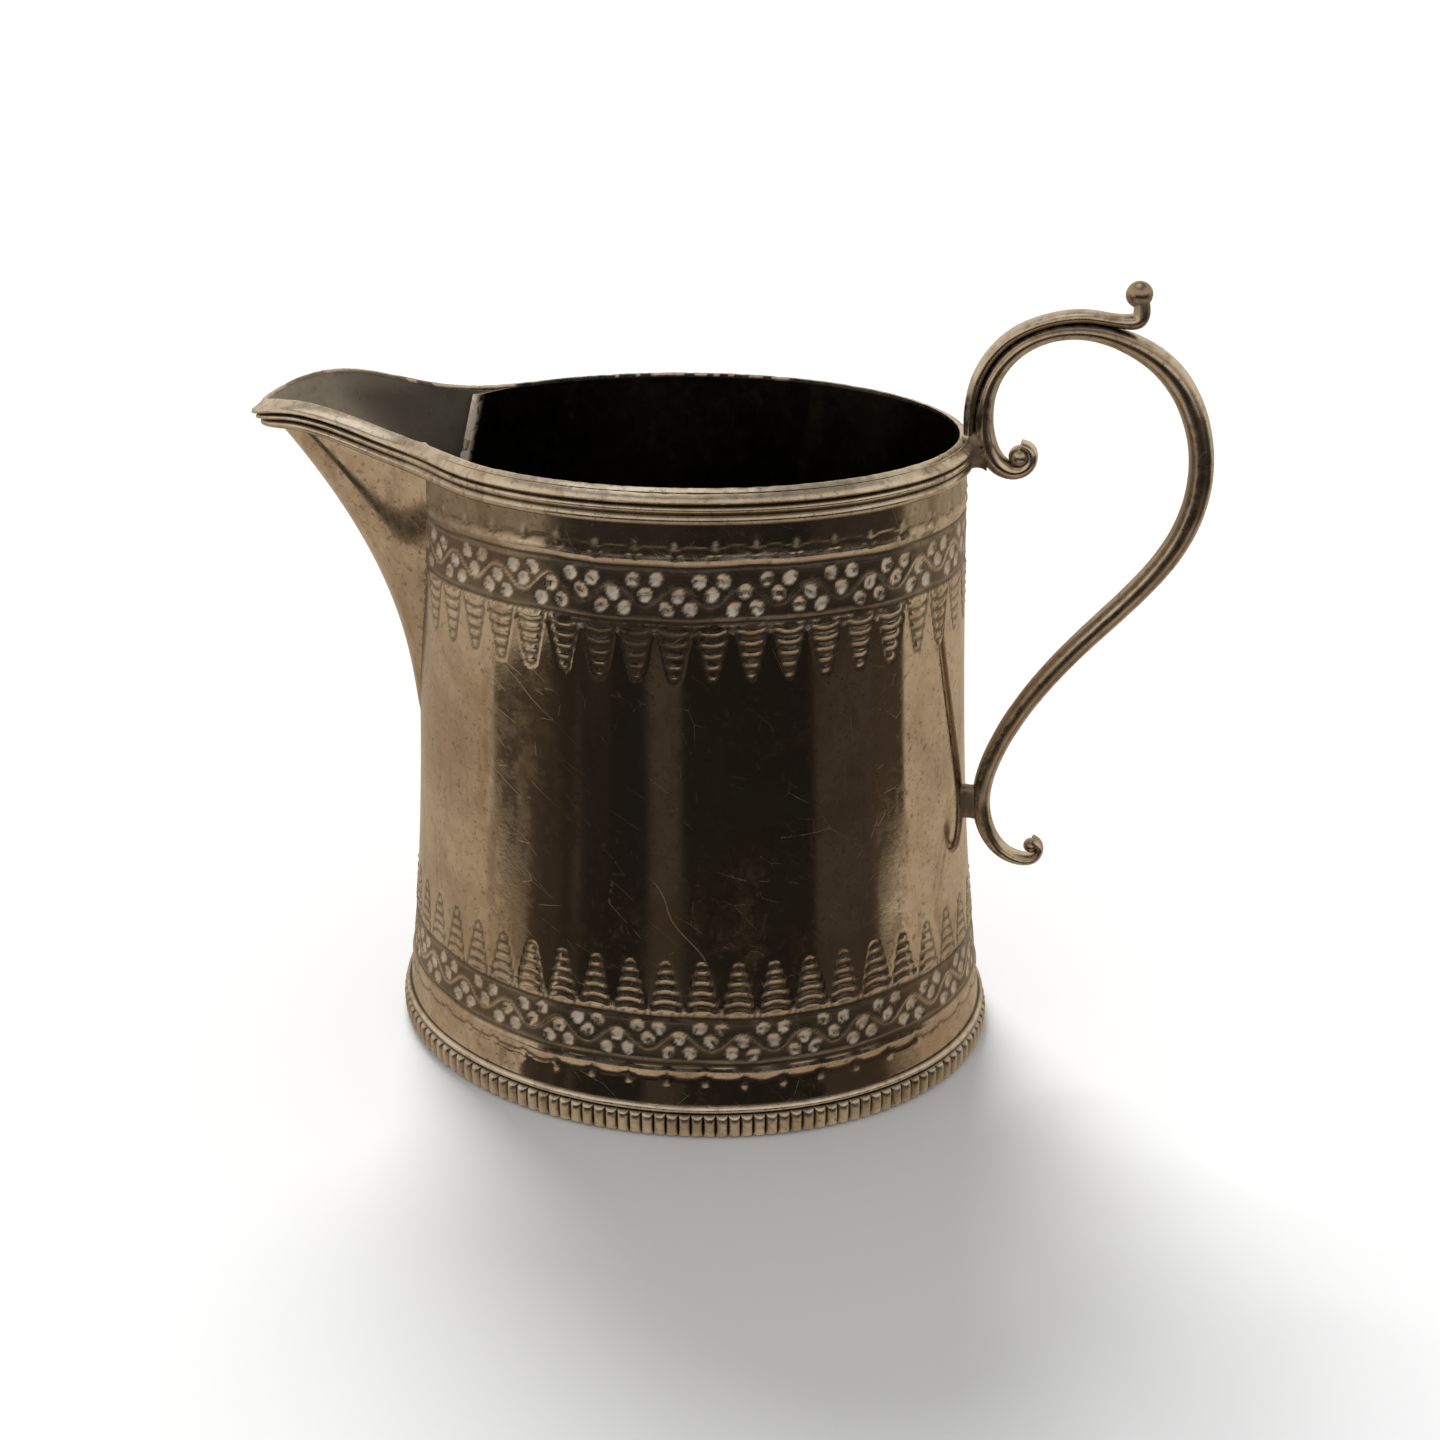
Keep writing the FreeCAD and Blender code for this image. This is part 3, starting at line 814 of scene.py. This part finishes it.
def lug(name, node, place, material):
    """Block of solder between handle and body, waisted and lumpy."""
    (x0, x1), half, (z0, z1) = place
    middle, tall = (z0 + z1) / 2, (z1 - z0) / 2
    rings = []
    for i in range(13):
        share = i / 12
        waist = 0.82 + 0.16 * (2 * share - 1) ** 2
        ring = []
        for k in range(32):
            a = 2 * math.pi * k / 32
            c, s = math.cos(a), math.sin(a)
            y = half * waist * math.copysign(abs(c) ** 0.7, c)
            z = middle + tall * waist * math.copysign(abs(s) ** 0.7, s)
            x = x0 + (x1 - x0) * share
            lump = 1 + 0.05 * noise.noise(Vector((x, y * 1.5, z * 1.2)))
            ring.append((AXIS_X + x, y * lump, middle + (z - middle) * lump))
        rings.append(ring)
    shape = Shape()
    shape.loft(rings, 0.45, 0.1)
    shape.piece(name, node, [material], crease=60)


# ---- materials ----------------------------------------------------------------------

class Nodes:
    """Short ways to add nodes to an emptied node tree and to join them."""

    def __init__(self, tree):
        self.tree = tree
        tree.nodes.clear()

    def add(self, kind, **settings):
        node = self.tree.nodes.new(kind)
        for key, value in settings.items():
            setattr(node, key, value)
        return node

    def join(self, source, target):
        self.tree.links.new(source, target)

    def feed(self, target, value):
        """Set a socket to a number or colour, or join another socket to it."""
        if isinstance(value, bpy.types.NodeSocket):
            self.join(value, target)
        else:
            target.default_value = value

    def maths(self, operation, a, b=0.0):
        node = self.add("ShaderNodeMath", operation=operation)
        self.feed(node.inputs[0], a)
        self.feed(node.inputs[1], b)
        return node.outputs[0]

    def step(self, value, low, high, start=0.0, end=1.0):
        """start below low, end above high, smooth between."""
        node = self.add("ShaderNodeMapRange", interpolation_type="SMOOTHSTEP")
        self.feed(node.inputs["Value"], value)
        node.inputs["From Min"].default_value = low
        node.inputs["From Max"].default_value = high
        node.inputs["To Min"].default_value = start
        node.inputs["To Max"].default_value = end
        return node.outputs[0]

    def mix(self, share, first, second):
        node = self.add("ShaderNodeMix", data_type="RGBA")
        self.feed(node.inputs[0], share)
        self.feed(node.inputs[6], first)
        self.feed(node.inputs[7], second)
        return node.outputs[2]

    def cloud(self, vector, scale, detail=5.0, distortion=0.0, roughness=0.55):
        node = self.add("ShaderNodeTexNoise")
        self.join(vector, node.inputs["Vector"])
        node.inputs["Scale"].default_value = scale
        node.inputs["Detail"].default_value = detail
        node.inputs["Distortion"].default_value = distortion
        node.inputs["Roughness"].default_value = roughness
        return node.outputs["Fac"]


class Metal(Nodes):
    """Node material of worn silver, put together from masks in millimetres."""

    def __init__(self, name):
        self.material = bpy.data.materials.new(name)
        self.material.use_nodes = True
        super().__init__(self.material.node_tree)
        self.shader = self.add("ShaderNodeBsdfPrincipled")
        self.shader.inputs["Metallic"].default_value = 1.0
        output = self.add("ShaderNodeOutputMaterial")
        self.join(self.shader.outputs[0], output.inputs["Surface"])
        place = self.add("ShaderNodeTexCoord").outputs["Object"]
        self.place = self.scaled(place, (1 / MM, 1 / MM, 1 / MM))

    def scaled(self, vector, factors):
        node = self.add("ShaderNodeVectorMath", operation="MULTIPLY")
        self.feed(node.inputs[0], vector)
        node.inputs[1].default_value = factors
        return node.outputs[0]

    def turned(self, vector, angles):
        node = self.add("ShaderNodeVectorRotate", rotation_type="EULER_XYZ")
        self.feed(node.inputs["Vector"], vector)
        node.inputs["Rotation"].default_value = angles
        return node.outputs[0]

    def cells(self, vector, scale, feature):
        node = self.add("ShaderNodeTexVoronoi", feature=feature)
        self.join(vector, node.inputs["Vector"])
        node.inputs["Scale"].default_value = scale
        return node.outputs["Distance"]

    def attribute(self, name):
        return self.add("ShaderNodeAttribute", attribute_name=name).outputs["Fac"]

    def scratches(self, scale, angles, stretch, width, amount):
        """Fine straight scratches: the borders of long cells, broken up by a cloud."""
        vector = self.scaled(self.turned(self.place, angles), stretch)
        line = self.step(self.cells(vector, scale, "DISTANCE_TO_EDGE"), 0.0, width, 1.0, 0.0)
        gaps = self.step(self.cloud(vector, scale * 1.7, 2.0), 0.62 - amount, 0.66 - amount)
        return self.maths("MULTIPLY", line, gaps)

    def gouge(self):
        """The long curved scratch low on the near side."""
        split = self.add("ShaderNodeSeparateXYZ")
        self.join(self.place, split.inputs[0])
        x, y, z = split.outputs
        (x_top, z_top), (x_end, z_end) = GOUGE
        drop = self.maths("SUBTRACT", z_top, z)
        wave = self.maths("MULTIPLY", self.maths("SINE", self.maths("MULTIPLY", drop, 0.75)), 0.45)
        slope = (x_end - x_top) / (z_top - z_end)
        line = self.maths("ADD", self.maths("MULTIPLY", drop, slope), wave)
        off = self.maths("ABSOLUTE", self.maths("SUBTRACT", self.maths("SUBTRACT", x, x_top), line))
        thin = self.step(off, 0.03, 0.16, 1.0, 0.0)
        ends = self.maths("MULTIPLY", self.step(drop, 0.0, 1.5), self.step(z, z_end, z_end + 1.5))
        near = self.step(y, -10.0, -5.0, 1.0, 0.0)
        return self.maths("MULTIPLY", thin, self.maths("MULTIPLY", ends, near))


def colour(red, green, blue):
    return (red, green, blue, 1.0)


SILVER = colour(0.71, 0.63, 0.515)          # bare metal under a thin warm film
BROWN = colour(0.34, 0.25, 0.165)           # thick film
OXIDE = colour(0.058, 0.046, 0.035)         # tarnish left in the hollows, and the painted shade that grime carries
RUBBED = colour(0.76, 0.72, 0.65)           # metal rubbed bright on the high places, and painted highlights near the foot beads' ends
FROST = 0.36                                # how far worn relief is from bare metal
GOUGE = ((-3.6, 34.6), (3.6, 22.6))         # ends of the long scratch, as (x, z)


def silver(name, clean=SILVER, film=0.5, gloss=0.06, marks=0.5, relief=0.5, gouged=False):
    """Tarnished silver: film is how much brown tarnish it has, gloss its least
    roughness, marks how many scratches show, relief how matt the chasing is and
    gouged whether the one long scratch is in it."""
    metal = Metal(name)
    place = metal.place
    grime = metal.attribute("grime")
    rubbing = metal.step(metal.cloud(place, 0.8, 4.0, 0.5), 0.36, 0.58, 0.2, 1.0)
    worn = metal.maths("MULTIPLY", metal.attribute("worn"), rubbing)

    veil = metal.step(metal.cloud(place, 0.055, 6.0, 0.6), 0.38, 0.70)
    runs = metal.cloud(metal.scaled(place, (1.0, 1.0, 0.28)), 0.21, 8.0, 1.2, 0.6)
    stain = metal.step(runs, 0.53, 0.66)
    mottle = metal.step(metal.cloud(place, 0.42, 7.0, 1.0, 0.62), 0.40, 0.64)
    freckle = metal.step(metal.cloud(place, 1.35, 4.0), 0.56, 0.68)
    pits = metal.step(metal.cells(place, 1.1, "F1"), 0.05, 0.16, 1.0, 0.0)
    pits = metal.maths("MULTIPLY", pits, metal.step(metal.cloud(place, 0.12, 3.0), 0.52, 0.62))
    fine = metal.scratches(0.40, (0.4, 0.9, 0.2), (1.0, 1.0, 0.16), 0.010, 0.08)
    long_ones = metal.scratches(0.12, (1.1, 0.3, 1.9), (1.0, 1.0, 0.3), 0.0040, 0.05)
    scratch = metal.maths("MAXIMUM", metal.maths("MULTIPLY", fine, 0.7), long_ones)
    if gouged:
        scratch = metal.maths("MAXIMUM", scratch, metal.gouge())

    tint = metal.mix(metal.maths("MULTIPLY", veil, film), clean, BROWN)
    tint = metal.mix(metal.maths("MULTIPLY", stain, 0.75 * film), tint, BROWN)
    tint = metal.mix(metal.maths("MULTIPLY", mottle, 0.42 * film), tint, BROWN)
    tint = metal.mix(metal.maths("MULTIPLY", freckle, 0.6 * film), tint, OXIDE)
    tint = metal.mix(metal.maths("MULTIPLY", pits, 0.75), tint, OXIDE)
    tint = metal.mix(metal.maths("MULTIPLY", scratch, 0.6 * marks), tint, RUBBED)
    # Grime lays in the oxide colour, as tarnish in hollows and as painted shade by the spout's joint and
    # under the handle; worn lays in the rubbed colour, as wear and as painted highlights on the beads' ends.
    tint = metal.mix(metal.maths("MULTIPLY", grime, 0.92), tint, OXIDE)
    tint = metal.mix(worn, tint, RUBBED)
    metal.join(tint, metal.shader.inputs["Base Color"])
    metal.join(metal.maths("SUBTRACT", 1.0, metal.maths("MULTIPLY", worn, FROST * relief)),
               metal.shader.inputs["Metallic"])

    rough = metal.step(veil, 0.0, 1.0, gloss, gloss + 0.05)
    for mask, share in ((stain, 0.05), (mottle, 0.05), (freckle, 0.08), (scratch, 0.35 * marks),
                        (grime, 0.30 * relief), (worn, 0.62 * relief)):
        rough = metal.maths("ADD", rough, metal.maths("MULTIPLY", mask, share))
    metal.join(metal.maths("MINIMUM", rough, 0.85), metal.shader.inputs["Roughness"])

    height = metal.maths("MULTIPLY", metal.cloud(place, 1.9, 5.0), 0.35)
    height = metal.maths("SUBTRACT", height, metal.maths("MULTIPLY", scratch, 0.5 * marks))
    height = metal.maths("SUBTRACT", height, metal.maths("MULTIPLY", pits, 0.6))
    bump = metal.add("ShaderNodeBump")
    bump.inputs["Strength"].default_value = 0.35
    bump.inputs["Distance"].default_value = 0.02 * MM
    metal.join(height, bump.inputs["Height"])
    metal.join(bump.outputs[0], metal.shader.inputs["Normal"])
    return metal.material


# ---- stage -----------------------------------------------------------------------------

CAMERA_PLACE = (34.64, -208.2, 137.05)      # millimetres
CAMERA_AZIMUTH = 10.34                      # degrees; 0 looks along +Y
CAMERA_ELEVATION = 23.81
CAMERA_ROLL = -0.48
CAMERA_LENS = 45.28
CAMERA_SHIFT = (0.0209, -0.0110)
LAMP = (-0.15, 0.10, 0.983)                 # direction of the lamp that gloss shows
FLOOR_HALF = 12.0                           # metres
FILL = 0.57                                 # strength of the white light from all round
KEY_STRENGTH = 2.9
KEY_SPREAD = 28                             # degrees
KEY_TILT = (-40, -22)                       # degrees about X and Y

# The room that gloss shows: colours of its walls low and at eye level, of its lit upper
# walls, of its ceiling and its lamp, and of the dark end that faces the near side
WALL_LOW = colour(0.50, 0.40, 0.29)
WALL_MIDDLE = colour(0.62, 0.51, 0.385)
WALL_HIGH = colour(0.85, 0.74, 0.60)
CEILING = colour(0.30, 0.27, 0.23)
LAMP_GLOW = colour(1.25, 1.17, 1.05)
DARK_MIDDLE = colour(0.016, 0.014, 0.011)
DARK_SIDES = colour(0.055, 0.040, 0.027)
DARK_PATCHES = colour(0.06, 0.045, 0.035)


def camera():
    data = bpy.data.cameras.new("camera")
    data.lens = CAMERA_LENS
    data.sensor_width = 36.0
    data.shift_x, data.shift_y = CAMERA_SHIFT
    data.clip_start = 0.01
    data.clip_end = 100.0
    made = bpy.data.objects.new("camera", data)
    bpy.context.scene.collection.objects.link(made)
    turn = (Matrix.Rotation(math.radians(CAMERA_AZIMUTH), 4, "Z")
            @ Matrix.Rotation(math.radians(90 - CAMERA_ELEVATION), 4, "X")
            @ Matrix.Rotation(math.radians(CAMERA_ROLL), 4, "Z"))
    made.matrix_world = Matrix.Translation(Vector(CAMERA_PLACE) * MM) @ turn
    bpy.context.scene.camera = made


def floor():
    """Pale floor. Gloss looks past it, at the room, as silver on a table does."""
    mesh = bpy.data.meshes.new("floor")
    corners = [(x * FLOOR_HALF, y * FLOOR_HALF, 0) for x, y in ((-1, -1), (1, -1), (1, 1), (-1, 1))]
    mesh.from_pydata(corners, [], [(0, 1, 2, 3)])
    made = bpy.data.objects.new("floor", mesh)
    bpy.context.scene.collection.objects.link(made)
    material = bpy.data.materials.new("floor_paint")
    material.use_nodes = True
    shader = material.node_tree.nodes["Principled BSDF"]
    shader.inputs["Base Color"].default_value = (0.86, 0.86, 0.86, 1)
    shader.inputs["Roughness"].default_value = 1.0
    shader.inputs["Specular IOR Level"].default_value = 0.0
    mesh.materials.append(material)
    made.visible_glossy = False


def background(room, tint, strength=1.0):
    node = room.add("ShaderNodeBackground")
    room.feed(node.inputs["Color"], tint)
    node.inputs["Strength"].default_value = strength
    return node.outputs[0]


def blend(room, share, first, second):
    node = room.add("ShaderNodeMixShader")
    for socket, value in zip(node.inputs, (share, first, second)):
        room.join(value, socket)
    return node.outputs[0]


def along(room, parts, direction):
    """How far a heading points along a direction, both of length 1."""
    x, y, z = (room.maths("MULTIPLY", part, share) for part, share in zip(parts, direction))
    return room.maths("ADD", z, room.maths("ADD", x, y))


def dark_end(room, parts, facing):
    """Share of the room's dark end in a heading: narrower low down, and high on the left."""
    azimuth = math.radians(CAMERA_AZIMUTH)
    z = parts[2]
    sideways = along(room, parts, (math.cos(azimuth), math.sin(azimuth), 0.0))
    left = room.maths("SUBTRACT", 1.0, room.step(sideways, -0.2, 0.0))
    high_left = room.maths("MULTIPLY", room.step(z, -0.338, -0.308), left)
    edge = room.maths("ADD", 0.40, room.maths("MULTIPLY", room.step(z, -0.400, -0.375), -0.29))
    edge = room.maths("ADD", edge, room.maths("MULTIPLY", high_left, 0.44))
    wide = room.step(room.maths("SUBTRACT", facing, edge), 0.0, 0.04)
    below_top = room.maths("SUBTRACT", 1.0, room.step(z, 0.02, 0.24))
    return room.maths("MULTIPLY", wide, room.maths("MULTIPLY", below_top, room.step(z, -0.52, -0.45)))


def world():
    """Soft white light all round; gloss shows a warm room with a dark end instead."""
    made = bpy.data.worlds.new("room")
    bpy.context.scene.world = made
    made.use_nodes = True
    room = Nodes(made.node_tree)
    heading = room.add("ShaderNodeTexCoord").outputs["Generated"]
    split = room.add("ShaderNodeSeparateXYZ")
    room.join(heading, split.inputs[0])
    parts = tuple(split.outputs)
    x, y, z = parts
    level = room.maths("SQRT", room.maths("ADD", room.maths("MULTIPLY", x, x), room.maths("MULTIPLY", y, y)))
    azimuth = math.radians(CAMERA_AZIMUTH)
    ahead = along(room, parts, (math.sin(azimuth), -math.cos(azimuth), 0.0))
    facing = room.maths("DIVIDE", ahead, room.maths("MAXIMUM", level, 0.001))

    shapes = room.cloud(heading, 3.0, 2.0, 0.0, 0.5)
    gloom = room.mix(room.step(facing, 0.85, 0.35), DARK_MIDDLE, DARK_SIDES)
    gloom = room.mix(room.step(shapes, 0.50, 0.60), gloom, DARK_PATCHES)
    warm = room.mix(room.step(z, -0.5, 0.3), WALL_LOW, WALL_MIDDLE)
    warm = room.mix(room.step(z, -0.1, 0.15), warm, WALL_HIGH)
    warm = room.mix(room.step(z, 0.68, 0.88), warm, CEILING)
    warm = room.mix(room.step(along(room, parts, LAMP), 0.93, 0.975), warm, LAMP_GLOW)
    seen = room.mix(dark_end(room, parts, facing), warm, gloom)

    ray = room.add("ShaderNodeLightPath")
    white = colour(1.0, 1.0, 1.0)
    lit = blend(room, ray.outputs["Is Glossy Ray"], background(room, white, FILL), background(room, seen))
    shown = blend(room, ray.outputs["Is Camera Ray"], lit, background(room, white))
    room.join(shown, room.add("ShaderNodeOutputWorld").inputs["Surface"])


def key_light():
    """Wide soft lamp, high behind the spout."""
    data = bpy.data.lights.new("key", "SUN")
    data.energy = KEY_STRENGTH
    data.angle = math.radians(KEY_SPREAD)
    made = bpy.data.objects.new("key", data)
    bpy.context.scene.collection.objects.link(made)
    made.rotation_euler = (math.radians(KEY_TILT[0]), math.radians(KEY_TILT[1]), 0)
    made.visible_glossy = False


def main():
    outside = silver("silver_sheet", film=0.6, relief=0.9, gouged=True)
    # The inside's near-black metal colour is painted shade and painted dark reflection: the inner wall and
    # base disc are coloured as dark as the shade inside the jug.
    inside = silver("silver_inside_painted_shade", clean=colour(0.032, 0.029, 0.024), film=0.1, gloss=0.22, marks=0.15)
    # The throat's dark grey metal colour is painted shade inside the spout.
    throat = silver("silver_throat_painted_shade", clean=colour(0.30, 0.29, 0.265), film=0.15, gloss=0.5, marks=0.4)
    wire = silver("silver_wire", film=0.8, gloss=0.15, marks=0.3, relief=0.4)
    cast = silver("silver_cast", clean=colour(0.62, 0.53, 0.41), film=0.9, gloss=0.15, marks=0.3, relief=0.4)
    joint = silver("silver_solder", clean=colour(0.42, 0.36, 0.29), film=0.7, gloss=0.38, marks=0.2)
    body_shell(outside, inside)
    base_plate(inside)
    foot_beading(wire)
    foot_fillet(wire)
    rim_moulding(wire)
    spout_shell(outside, throat)
    spout_wire(1, "spout_wire_far", wire)
    spout_wire(-1, "spout_wire_near", wire)
    handle_scroll(cast)
    handle_overlay(cast)
    lug("upper_solder", "upper_handle_lug", UPPER_LUG, joint)
    lug("lower_solder", "lower_handle_lug", LOWER_LUG, joint)
    camera()
    floor()
    world()
    key_light()
    bpy.context.scene.view_settings.view_transform = "Standard"


main()
